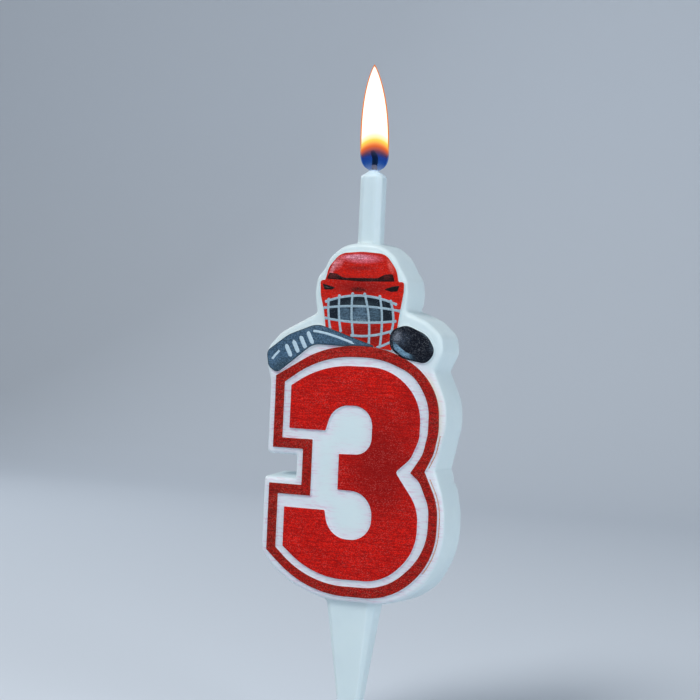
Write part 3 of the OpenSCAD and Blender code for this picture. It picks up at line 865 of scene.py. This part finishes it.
@dataclass
class WaxCasting:
    """The slab with its raised areas, its neck and its peg, poured in one piece."""

    art: Artwork
    slab_t: float = 9.7
    draft: float = 0.5
    edge_round: float = 1.0
    back_round: float = 0.3
    relief: float = 0.4
    wall_out: float = 0.2
    wall_in: float = 0.06
    ripple_h: float = 0.01
    dish: float = 0.1
    dish_reach: float = 6.0
    front_pitch: float = 0.8
    back_pitch: float = 1.5
    neck_w: float = 5.1
    neck_d: float = 4.8
    apex: float = 91.05
    peg_w: float = 11.0
    peg_d: float = 7.1
    peg_len: float = 30.0
    peg_tip: float = 2.6
    post_chamfer: float = 1.2
    post_round: float = 0.9
    post_step: float = 0.22
    wick_d: float = 1.2
    wick_in: float = 38.0
    nicks: tuple[Corner, ...] = ((9.9, 69.9, 0.3), (10.9, 62.0, 0.34), (19.6, 26.4, 0.36))
    nick_reach: float = 0.45
    wall_wave: float = 0.012
    spray_reach: float = 1.1
    cream_reach: float = 0.55
    cream_across: Pair = (14.0, 2.5)
    cream_from: Pair = (33.0, 4.0)
    cream_to: Pair = (47.0, 4.0)

    @property
    def front_y(self) -> float:
        """How far the plain front face lies in front of the middle."""
        return self.slab_t / 2

    def front(self, points: Array) -> Array:
        """Returns how far back the moulded front lies.

        Args:
            points: The points (across, up), one a row.

        Returns:
            The distance behind the middle, with the faint unevenness of a poured face.
        """
        across, up = points.T
        ripple = self.ripple_h * (np.sin(0.83 * across + 1.7 * np.sin(0.29 * up))
                                  + np.sin(0.61 * up + 0.37 * across + 1.1))
        inset = np.clip(self.art.slab.depth(points), 0.0, self.edge_round)
        fall = self.edge_round - np.sqrt(self.edge_round ** 2 - (self.edge_round - inset) ** 2)
        rise = smooth((self.art.raised.depth(points) + self.wall_out) / (self.wall_out + self.wall_in))
        return (fall - self.front_y) * (1 - rise) - (self.front_y + self.relief) * rise + ripple

    def wall_lines(self) -> list[Array]:
        """Returns the lines along the raised areas' walls."""
        grows = np.linspace(self.wall_out, -self.wall_in, 6)
        return [line for grow in grows for line in self.art.raised.lines(round(float(grow), 4))]

    def _slab(self) -> Draft:
        """Returns the slab with its raised areas."""
        outline, deep = self.art.slab_outline, self.art.slab.depth
        rings = [outline.ring(round(float(-self.edge_round * (1 - math.cos(a))), 4))
                 for a in np.radians(np.linspace(0, 90, 8))]
        low, high = rings[0].min(axis=0), rings[0].max(axis=0)
        loose = lattice(low, high, self.front_pitch)
        off_wall, off_round = 0.35, self.edge_round + 0.25
        loose = loose[(np.abs(self.art.raised.depth(loose)) > off_wall) & (deep(loose) > off_round)]
        spots, triangles = tiles(rings + self.wall_lines(), loose, lambda middles: deep(middles) > 0)
        draft = Draft()
        draft.cover(spots, triangles, self.front(spots))

        first_y, last_y = self.edge_round - self.front_y, self.front_y - self.back_round
        levels = [(self.draft * share, first_y + (last_y - first_y) * share, share)
                  for share in np.linspace(0, 1, 9)[1:]]
        levels += [(self.draft - self.back_round * (1 - math.cos(a)),
                    last_y + self.back_round * math.sin(a), 1.0) for a in np.radians((30, 60, 90))]
        walls = [standing(rings[0], self.front(rings[0]))]
        walls += [self._nicked(outline.ring(round(grow, 4)), back, share) for grow, back, share in levels]
        draft.skin([wall[::-1] for wall in walls])

        edge = walls[-1][:, [0, 2]]
        loose = lattice(low, high, self.back_pitch)
        off_edge = 0.6
        spots, triangles = tiles([edge], loose[inside_depth(loose, edge) > off_edge],
                                 lambda middles: inside_depth(middles, edge) > 0)
        sunk = self.dish * smooth(inside_depth(spots, edge) / self.dish_reach)
        draft.cover(spots, triangles[:, ::-1], self.front_y - sunk)
        return draft

    def _nicked(self, ring: Array, back: float, share: float) -> Array:
        """Returns a slightly wavy wall ring with the small nicks left by the mould's flash.

        Args:
            ring: The ring's points (across, up).
            back: How far behind the middle it lies.
            share: Its place between the front, 0, and the back edge, 1, where the nicks are deepest.

        Returns:
            The points in space.
        """
        out = normals(np.roll(ring, -1, axis=0) - np.roll(ring, 1, axis=0))
        wave = np.sin(0.9 * ring[:, 1] + 0.7 * ring[:, 0] + 2.1 * back)
        moved = ring + self.wall_wave * wave[:, None] * out
        for *middle, size in self.nicks:
            near = np.hypot(*(ring - middle).T)
            moved = moved - out * (size * share ** 6 * np.exp(-(near / self.nick_reach) ** 2))[:, None]
        return standing(moved, back)

    def _post(self, width: float, depth: float, levels: Sequence[tuple[float, float, float, float]]) -> Draft:
        """Returns a soft eight-sided post, closed at both ends.

        Args:
            width: Its width across X.
            depth: Its depth across Y.
            levels: Heights, each with the scale across X, the scale across Y and the growth there.

        Returns:
            The post.
        """
        a, b, c = width / 2, depth / 2, self.post_chamfer
        tips = [(a - c, -b), (a, c - b), (a, b - c), (a - c, b)]
        tips += [(-across, -back) for across, back in tips]
        section = Outline(tuple((*tip, self.post_round) for tip in tips), step=self.post_step)
        rings = [lying(section.ring(grow) * (wide, deep), height) for height, wide, deep, grow in levels]
        return tube(rings, (0, 0, levels[0][0]), (0, 0, levels[-1][0]))

    def _neck(self) -> Draft:
        """Returns the neck, with its foot flared into the slab and its top melted to a soft cone."""
        foot = [(73.5, 0.4), (75.1, 0.25), (75.45, 0.1), (75.75, 0.03), (76.3, 0.0)]
        foot += [(height, 0.012 * math.sin(1.3 * height)) for height in np.arange(77.5, 88.5, 0.8)]
        cone = [(89.2, 1.0), (89.42, 0.992), (89.6, 0.965), (89.78, 0.90), (89.98, 0.80), (90.2, 0.69),
                (90.42, 0.575), (90.64, 0.47), (90.82, 0.385), (90.95, 0.32), (self.apex, 0.26)]
        return self._post(self.neck_w, self.neck_d, [(height, 1, 1, grow) for height, grow in foot]
                          + [(height, share, share, 0.0) for height, share in cone])

    def _peg(self) -> Draft:
        """Returns the peg, tapered towards its tip and flared into the slab."""
        tip = (self.peg_tip / self.peg_w, self.peg_tip / self.peg_d)
        levels = [(up - self.peg_len, tip[0] * share, tip[1] * share, 0.0)
                  for up, share in ((0, 0.7), (0.12, 0.9))]
        for share in np.linspace(0.015, 0.965, 34):
            taper = [end + (1 - end) * share for end in tip]
            levels.append((-self.peg_len * (1 - share), *taper, 0.015 * math.sin(21 * share)))
        foot = [(-0.6, 0.99, 0.99, 0.05), (-0.25, 0.995, 0.995, 0.2), (0.05, 1, 1, 0.45), (2.2, 1, 1, 0.6)]
        return self._post(self.peg_w, self.peg_d, levels + foot)

    def _channel(self) -> Draft:
        """Returns the space that the wick fills."""
        heights = (self.apex - self.wick_in, self.apex + 1.0)
        rings = [lying(wheel(32) * self.wick_d / 2, height) for height in heights]
        return tube(rings, (0, 0, heights[0]), (0, 0, heights[1]))

    def _joined(self) -> Mesh:
        """Returns the slab, neck and peg as one closed skin with the wick's channel cut out."""
        main = link_new("casting_draft", self._slab().mesh("slab", weld=1e-4))
        tools = []
        for name, draft, way in (("neck", self._neck(), "UNION"), ("peg", self._peg(), "UNION"),
                                 ("channel", self._channel(), "DIFFERENCE")):
            tools.append(link_new(name, draft.mesh(name)))
            cut = main.modifiers.new(name, "BOOLEAN")
            cut.operation, cut.object, cut.solver = way, tools[-1], "EXACT"
        bpy.context.view_layer.update()
        made = bpy.data.meshes.new_from_object(main.evaluated_get(bpy.context.evaluated_depsgraph_get()))
        for item in (*tools, main):
            bpy.data.objects.remove(item)
        made.name = "wax_casting"
        return made

    def _mark_tints(self, mesh: Mesh) -> None:
        """Notes on each vertex how much of the overspray and of the cream fringe it takes.

        Args:
            mesh: The casting. The overspray lies close to the red ink, and the cream outside the
                numeral at its upper right.
        """
        spots = np.zeros(len(mesh.vertices) * 3, np.float32)
        mesh.vertices.foreach_get("co", spots)
        across, back, up = (spots.reshape(-1, 3).astype(float) / MM).T
        flat = np.stack([across, up], axis=1)
        gap = np.clip(-(self.art.band | self.art.fill).depth(flat), 0.0, None)
        spray = np.exp(-gap / self.spray_reach) * smooth((0.6 - back - self.front_y) / 0.3)
        note(mesh, "overspray", spray)
        inside = self.art.numeral.depth(flat)
        cream = np.exp(np.clip(inside, None, 0.0) / self.cream_reach) * (inside < 0.05)
        side, low, high = (smooth((place - start) / fade) for place, (start, fade) in
                           ((across, self.cream_across), (up, self.cream_from), (up, self.cream_to)))
        note(mesh, "cream", cream * (side * low * (spray > 0)) * (1 - high))

    def build(self) -> None:
        """Builds and dresses the casting."""
        mesh = self._joined()
        mesh.shade_smooth()
        mesh.set_sharp_from_angle(angle=math.radians(55))
        self._mark_tints(mesh)
        mesh.materials.clear()
        place_piece(mesh, WaxFinish().make(), Slot.WAX, "wax_body")


# ---- the print ----


@dataclass(frozen=True)
class Layer:
    """One layer of ink: its area, its build, its finish and what it stands for.

    `proud` is how far it stands above the wax, `pitch` the spacing of its inner vertices and `crown` how
    much thicker it is away from its edge. `node` is its CAD node without the ending. `walls` says that
    it meets the raised areas' walls, and `rimmed` that its edge is noted for a finish of its own.
    """

    name: str
    area: Area
    proud: float
    pitch: float
    ink: InkFinish
    slot: Slot
    node: str = ""
    walls: bool = False
    rimmed: bool = False
    crown: float = 0.0


@dataclass
class Print:
    """The ink layers that lie on the casting's raised areas."""

    art: Artwork
    wax: WaxCasting
    sunk: float = 0.04
    edge: float = 0.09
    edge_clear: float = 0.1
    crown_reach: float = 0.25
    rim: float = 0.36

    def film(self, layer: Layer) -> Mesh:
        """Makes a thin closed layer that follows the wax and thins out to nothing at its edge.

        Args:
            layer: The layer.

        Returns:
            The mesh.
        """
        area = layer.area
        insets = (0.0, self.edge / 2, self.edge, *((self.rim,) if layer.rimmed else ()))
        lines = [line for inset in insets for line in area.lines(-inset)]
        if layer.walls:
            lines += self.wax.wall_lines()
        reach = np.concatenate(area.lines(0.0))
        loose = lattice(reach.min(axis=0), reach.max(axis=0), layer.pitch)
        loose = loose[area.depth(loose) > self.edge + self.edge_clear]
        spots, triangles = tiles(lines, loose, lambda middles: area.depth(middles) > SAME_PLACE)
        used, numbers = np.unique(triangles, return_inverse=True)
        triangles, spots = numbers.reshape(-1, 3), spots[used]
        depth = area.depth(spots)
        proud = layer.proud * smooth(depth / self.edge) + layer.crown * smooth(depth / self.crown_reach)
        wax = self.wax.front(spots)
        draft = Draft()
        top, under = (draft.add(standing(spots, back)) for back in (wax - proud, wax + self.sunk))
        sides: dict[tuple[int, int], int] = {}
        for a, b, c in triangles.tolist():
            draft.faces.append((top + a, top + b, top + c))
            draft.faces.append((under + c, under + b, under + a))
            for pair in ((a, b), (b, c), (c, a)):
                if sides.pop(pair[::-1], None) is None:
                    sides[pair] = 1
        draft.faces.extend((top + b, top + a, under + a, under + b) for a, b in sides)
        made = draft.mesh(f"{layer.name}_print")
        if layer.rimmed:
            note(made, "edge", np.tile(np.clip(1.0 - depth / self.rim, 0.0, 1.0), 2))
        return made

    def build(self) -> None:
        """Builds and dresses every layer, the lowest first."""
        art = self.art
        for layer in (
                Layer("band", art.band, 0.05, 0.7, DARK_RED_INK, Slot.DARK_RED, "numeral_band", True, True),
                Layer("stray", art.stray, 0.03, 0.4, STRAY_INK, Slot.DARK_RED),
                Layer("fill", art.fill, 0.05, 0.7, BRIGHT_RED_INK, Slot.BRIGHT_RED, "numeral_fill", True),
                Layer("helmet", art.helmet, 0.045, 0.5, HELMET_RED_INK, Slot.BRIGHT_RED, "helmet_shell",
                      True, True),
                Layer("brow", art.brow, 0.062, 0.4, BROW_INK, Slot.SHADOW_RED, "helmet_brow"),
                Layer("vent", art.vents, 0.06, 0.3, VENT_INK, Slot.BLACK, "helmet_vent"),
                Layer("window", art.windows, 0.058, 0.4, WINDOW_INK, Slot.SLATE, "cage_window"),
                Layer("wire", art.cage, 0.07, 0.3, WIRE_INK, Slot.WIRE_BLUE, "cage_wire", crown=0.03),
                Layer("stick", art.stick, 0.05, 0.5, SLATE_INK, Slot.SLATE, "stick_blade", True, True),
                Layer("tape", art.marks, 0.07, 0.3, TAPE_INK, Slot.PALE, "stick_tape"),
                Layer("puck", art.puck, 0.055, 0.5, PUCK_INK, Slot.BLACK, "puck_face", True),
                Layer("puck_rim", art.rim, 0.07, 0.3, RIM_INK, Slot.RIM_BLUE, "puck_rim")):
            nodes = [f"{layer.node}_ink"] if layer.node else []
            place_piece(self.film(layer), layer.ink.make(), layer.slot, *nodes)


# ---- the wick ----


@dataclass
class Wick:
    """The plaited cotton wick, bare for a millimetre above the wax and burnt above that."""

    diameter: float = 1.2
    low: float = 53.05
    wax_top: float = 91.05
    bare: float = 1.0
    plait: float = 1.5
    strands: float = 1.5
    strand_round: float = 0.6
    groove: float = 0.2
    around: int = 28
    char_len: float = 3.12
    char_overlap: float = 0.05
    char_r: float = 0.57
    char_crust: float = 0.022

    def _cord(self, name: str, middles: Array, radii: Array, crust: float = 0.0) -> Mesh:
        """Makes a closed plaited cord along a line of points.

        Args:
            name: The mesh's name.
            middles: The points.
            radii: The cord's radius at each point.
            crust: How uneven its surface is; a smooth cord's plait goes by height alone.

        Returns:
            The mesh.
        """
        angles = np.linspace(0, 2 * math.pi, self.around + 1)[:-1]
        ways = np.gradient(middles, axis=0)
        ways /= np.linalg.norm(ways, axis=1)[:, None]
        length = np.concatenate([[0], np.cumsum(np.linalg.norm(np.diff(middles, axis=0), axis=1))])
        rings = []
        for middle, way, radius, run in zip(middles, ways, radii, length):
            side = np.cross((0.0, 1.0, 0.0), way)
            side /= np.linalg.norm(side)
            back = np.cross(way, side)
            twist = 2 * math.pi * (run if crust else middle[2]) / self.plait
            left, right = (self.strands * (angles + hand * twist / self.strands) for hand in (-1, 1))
            yarns = [np.abs(np.cos(phase)) ** self.strand_round for phase in (left, right)]
            size = radius * (1 - self.groove + self.groove * np.maximum(*yarns)) \
                + crust * (np.sin(5 * angles + 9.1 * run) + np.sin(3 * angles - 14.7 * run + 1.0))
            rings.append(middle + np.outer(np.cos(angles) * size, side)
                         + np.outer(np.sin(angles) * size, back))
        return tube(rings, middles[0], middles[-1] + (0, 0, 0.04)).mesh(name)

    def build(self) -> None:
        """Builds and dresses the wick's bare and burnt lengths."""
        top = self.wax_top + self.bare
        heights = np.concatenate([np.linspace(self.low, self.wax_top - 1, 60),
                                  np.linspace(self.wax_top - 0.92, top, 25)])
        middles = np.stack([0 * heights, 0 * heights, heights], axis=1)
        cord = self._cord("wick_cord", middles, np.full(len(heights), self.diameter / 2))
        place_piece(cord, WAXED_COTTON.make(), Slot.COTTON, "wick")

        share = np.linspace(0, 1, 42)
        lean = 0.10 * np.sin(math.pi * share) - 0.62 * smooth((share - 0.45) / 0.6)
        middles = np.stack([lean, 0.05 * np.sin(2.4 * math.pi * share),
                            top - self.char_overlap + self.char_len * share], axis=1)
        radii = self.char_r + 0.06 * np.sin(math.pi * share) - 0.16 * smooth((share - 0.6) / 0.4)
        cord = self._cord("burnt_tip", middles, radii, self.char_crust)
        place_piece(cord, BURNT_COTTON.make(), Slot.BURNT, "wick_char")


# ---- the flame ----


@dataclass
class Flame:
    """The glowing gas round the burnt wick: a thin mantle, blue at its foot, and a pale core in it."""

    low: float = 91.05
    height: float = 22.6
    width: float = 6.1
    belly: float = 0.2
    foot: float = 0.01
    core_low: float = 91.6
    core_share: float = 0.92
    core_drop: float = 0.4
    arch: float = 1.15
    arch_turn: float = 22.0
    lean: float = -1.0
    around: int = 48

    def _share(self, up: float) -> float:
        """Returns the flame's width at a share of its height, as a share of its greatest width."""
        if up < self.belly:
            return (1 - (1 - up / self.belly) ** 3) ** 0.45
        return (1 - ((up - self.belly) / (1 - self.belly)) ** 2.5) ** 0.85

    def _skin(self, name: str, low: float, share: float, drop: float) -> Mesh:
        """Makes one closed skin of the flame.

        Args:
            name: The mesh's name.
            low: The share of the flame's height at which the skin starts.
            share: The skin's width as a share of the flame's.
            drop: How far its tip stays below the flame's, in millimetres.

        Returns:
            The mesh.
        """
        rings = []
        for turn in np.linspace(0.0, 0.985, 56):
            up = low + (1 - low) * (1 - (1 - turn) ** 1.4)
            radius = self.width / 2 * share * self._share(up)
            height = self.low + self.height * (up - self.foot) - drop * up
            rings.append(lying(radius * wheel(self.around) + (self.lean * up ** 1.3, 0.0), height))
        return tube(rings, rings[0].mean(axis=0), rings[-1].mean(axis=0) + (0, 0, 0.05)).mesh(name)

    def _glow(self, name: str, power: float,
              stops: Sequence[tuple[float, Colour, float, Colour]]) -> Material:
        """Makes a glowing material that changes with height.

        Args:
            name: The material's name.
            power: How strongly it glows.
            stops: Heights above the wax in millimetres, each with its colour, its cover, 0 to 1, and
                the tint of what is seen through it.

        Returns:
            The material.
        """
        bench = Bench(name)
        parts = bench.add("ShaderNodeSeparateXYZ", {"Vector": bench.place}).outputs
        turn = math.radians(self.arch_turn)
        across = bench.sum("ADD", bench.times(parts["X"], math.cos(turn)),
                           bench.times(parts["Y"], math.sin(turn)))
        arch = bench.times(bench.times(across, across), self.arch / (self.width / 2) ** 2 / MM)
        height = bench.sum("ADD", parts["Z"], arch)
        share = bench.sum("DIVIDE", bench.sum("SUBTRACT", height, self.low * MM), self.height * MM)
        glows, covers, tints = ramps = [bench.add("ShaderNodeValToRGB", {"Fac": share}) for _ in range(3)]
        for ramp in ramps:
            while len(ramp.color_ramp.elements) < len(stops):
                ramp.color_ramp.elements.new(0.5)
        for k, (up, colour, cover, tint) in enumerate(stops):
            for ramp, value in zip(ramps, (colour, (cover,) * 3, tint)):
                ramp.color_ramp.elements[k].position = up / self.height
                ramp.color_ramp.elements[k].color = (*value, 1.0)
        glow = bench.add("ShaderNodeEmission", {"Color": glows.outputs["Color"], "Strength": power})
        clear = bench.add("ShaderNodeBsdfTransparent", {"Color": tints.outputs["Color"]})
        return bench.close(bench.add("ShaderNodeMixShader", {
            0: covers.outputs["Color"], 1: clear.outputs[0], 2: glow.outputs[0]}))

    def build(self) -> None:
        """Builds and dresses the flame's two skins."""
        plain, blue = (1.0, 1.0, 1.0), (0.012, 0.10, 0.36)
        mantle = self._glow("flame_mantle", 1.0, (
            (0.0, blue, 0.06, (0.72, 0.80, 0.94)),
            (1.0, blue, 0.07, (0.52, 0.66, 0.91)),
            (1.9, blue, 0.07, (0.37, 0.58, 0.90)),
            (3.6, (0.012, 0.08, 0.33), 0.08, (0.36, 0.56, 0.90)),
            (4.6, (0.75, 0.19, 0.04), 0.35, (0.8, 0.7, 0.7)),
            (5.2, (0.90, 0.30, 0.05), 0.50, plain),
            (6.9, (0.85, 0.25, 0.02), 0.75, plain),
            (8.0, (0.92, 0.22, 0.0), 0.80, plain),
            (self.height, (0.88, 0.18, 0.0), 0.80, plain)))
        place_piece(self._skin("flame_mantle", self.foot, 1.0, 0.0), mantle, Slot.GLOW, "flame")
        core = self._glow("flame_core", 6.0, (
            (0.6, (0.002, 0.012, 0.05), 0.02, (0.95, 0.95, 0.98)),
            (1.2, (0.002, 0.010, 0.04), 0.03, (0.85, 0.86, 0.93)),
            (2.0, (0.002, 0.007, 0.03), 0.04, (0.48, 0.66, 0.88)),
            (3.2, (0.030, 0.008, 0.02), 0.12, (0.50, 0.60, 0.86)),
            (4.0, (0.12, 0.024, 0.012), 0.62, (0.8, 0.6, 0.6)),
            (4.6, (0.146, 0.023, 0.008), 1.0, plain),
            (5.2, (0.183, 0.052, 0.018), 1.0, plain),
            (6.1, (0.20, 0.26, 0.043), 1.0, plain),
            (6.9, (0.26, 0.54, 0.39), 1.0, plain),
            (7.8, (1.0, 1.0, 0.94), 1.0, plain),
            (self.height, (1.0, 1.0, 0.96), 1.0, plain)))
        low = (self.core_low - self.low) / self.height
        place_piece(self._skin("flame_core", low, self.core_share, self.core_drop), core, Slot.GLOW)


# ---- the set ----


@dataclass
class Studio:
    """The pale floor and backdrop, the lamps and the camera."""

    floor_z: float = -30.0
    floor_half: float = 1600.0
    floor_near: float = -900.0
    floor_far: float = 500.0
    sweep_r: float = 260.0
    backdrop_h: float = 1500.0
    pale: Colour = (0.66, 0.72, 0.80)
    sky: Colour = (0.92, 0.96, 1.0)
    sky_power: float = 0.30
    aim_z: float = 50.0
    camera_turn: float = 22.0
    camera_roll: float = 2.6
    camera_distance: float = 330.0
    camera_aside: float = 3.4
    camera_height: float = 52.76
    film_mm: float = 36.0
    lens_mm: float = 1560 * 36 / 700

    def _sweep(self) -> None:
        """Builds the floor, which curves up into the backdrop."""
        profile = [(self.floor_near, 0.0), (self.floor_far, 0.0)]
        profile += [(self.floor_far + self.sweep_r * math.sin(a), self.sweep_r * (1 - math.cos(a)))
                    for a in np.radians(np.arange(10, 91, 10))]
        profile += [(self.floor_far + self.sweep_r, self.backdrop_h)]
        draft = Draft()
        rows = [draft.add(np.array([[side * self.floor_half, y, self.floor_z + z] for side in (-1, 1)]))
                for y, z in profile]
        draft.faces.extend((a, a + 1, b + 1, b) for a, b in zip(rows, rows[1:]))
        mesh = draft.mesh("floor")
        mesh.materials.append(Bench("plain_floor").shade(Base_Color=(*self.pale, 1.0), Roughness=0.9,
                                                         Specular_IOR_Level=0.1))
        link_new("floor", mesh)

    def _lamp(self, name: str, where: Sequence[float], size: float, power: float, colour: Colour) -> None:
        """Adds a soft lamp that faces the candle's middle.

        Args:
            name: The lamp's name.
            where: Its place, in millimetres.
            size: Its width, in millimetres.
            power: Its power in watts.
            colour: Its colour.
        """
        data = bpy.data.lights.new(name, "AREA")
        data.shape, data.size, data.energy, data.color = "DISK", size * MM, power, colour
        lamp = link_new(name, data)
        lamp.location = Vector(where) * MM
        aim = Vector((0, 0, self.aim_z * MM)) - lamp.location
        lamp.rotation_euler = aim.to_track_quat("-Z", "Y").to_euler()

    def _camera(self) -> None:
        """Adds the camera."""
        turn, roll = math.radians(self.camera_turn), math.radians(self.camera_roll)
        right, up = Vector((math.cos(turn), math.sin(turn), 0)), Vector((0, 0, 1))
        ahead = Vector((-math.sin(turn), math.cos(turn), 0))
        across = right * math.cos(roll) + up * math.sin(roll)
        above = up * math.cos(roll) - right * math.sin(roll)
        place = -self.camera_distance * ahead - self.camera_aside * right + Vector((0, 0, self.camera_height))
        data = bpy.data.cameras.new("camera")
        data.lens, data.sensor_width, data.clip_start, data.clip_end = self.lens_mm, self.film_mm, 0.01, 20
        camera = link_new("camera", data)
        camera.matrix_world = Matrix((across, above, -ahead)).transposed().to_4x4()
        camera.location = place * MM
        bpy.context.scene.camera = camera

    def build(self) -> None:
        """Builds the set."""
        self._sweep()
        self._lamp("key", (-200, -470, 560), 300, 3.3, (1.0, 0.99, 0.97))
        self._lamp("fill", (540, -190, 150), 360, 1.45, (0.93, 0.97, 1.0))
        self._lamp("back", (-520, 330, 360), 300, 0.75, (0.93, 0.97, 1.0))
        world = bpy.data.worlds.new("studio")
        world.use_nodes = True
        sky = world.node_tree.nodes["Background"].inputs
        sky["Color"].default_value, sky["Strength"].default_value = (*self.sky, 1.0), self.sky_power
        bpy.context.scene.world = world
        bpy.context.scene.view_settings.view_transform = "Standard"
        self._camera()


def main() -> None:
    """Builds the candle and its set."""
    logging.basicConfig(level=logging.INFO, format="%(name)s: %(message)s")
    Studio().build()
    art = Artwork()
    wax = WaxCasting(art)
    wax.build()
    Print(art, wax).build()
    Wick().build()
    Flame().build()
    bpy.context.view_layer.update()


if __name__ == "__main__":
    main()
